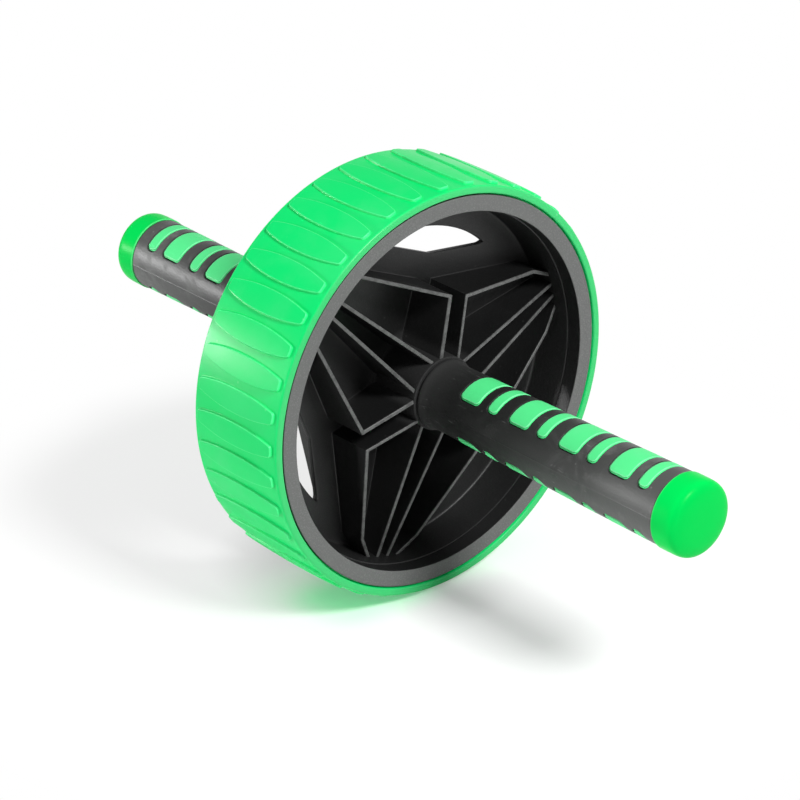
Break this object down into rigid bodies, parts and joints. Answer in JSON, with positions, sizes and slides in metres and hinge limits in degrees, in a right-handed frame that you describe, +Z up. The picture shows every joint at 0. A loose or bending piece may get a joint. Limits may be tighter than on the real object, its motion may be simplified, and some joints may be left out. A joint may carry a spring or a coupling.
{
  "type": "ab wheel roller",
  "caption": "Wide ab wheel roller: a green ribbed tyre on a dark spoked core that spins on a steel axle between two black and green grips.",
  "frame": {"origin": "middle of the wheel on the axle's centre line, halfway between the two end caps", "axes": "+Y along the axle towards the far grip of the picture, +Z up from the floor, +X to the right seen from the near grip; the floor is at z = -0.090"},
  "size_m": [0.18, 0.346, 0.18],
  "materials": {
    "tyre_rubber": "bright green thermoplastic rubber, satin, slightly translucent look",
    "core_plastic": "dark grey moulded plastic with a fine matt grain",
    "cover_rubber": "black soft-touch rubber, matt, slightly scuffed",
    "inlay_rubber": "light green soft rubber, satin",
    "cap_plastic": "bright green moulded plastic, semi-gloss",
    "tube_plastic": "black moulded plastic",
    "acetal": "natural white acetal",
    "steel": "turned and plated steel",
    "zinc_steel": "zinc-plated steel"
  },
  "bodies": {
    "handles": {"axle": "steel", "thrust_washer_near": "acetal", "thrust_washer_far": "acetal", "grip_tube_near": "tube_plastic", "grip_tube_far": "tube_plastic", "inlay_top_near": "inlay_rubber", "inlay_under_near": "inlay_rubber", "inlay_top_far": "inlay_rubber", "inlay_under_far": "inlay_rubber", "grip_cover_near": "cover_rubber", "grip_cover_far": "cover_rubber", "end_washer_near": "zinc_steel", "end_washer_far": "zinc_steel", "lock_nut_near": "zinc_steel", "lock_nut_far": "zinc_steel", "end_cap_near": "cap_plastic", "end_cap_far": "cap_plastic"},
    "wheel": {"wheel_core": "core_plastic", "tyre": "tyre_rubber", "hub_bush_near": "acetal", "hub_bush_far": "acetal"}
  },
  "joints": [
    {"name": "wheel_spin", "type": "hinge", "parent": "handles", "child": "wheel", "pos_m": [0, 0, 0], "axis": [0, 1, 0], "continuous": true}
  ]
}
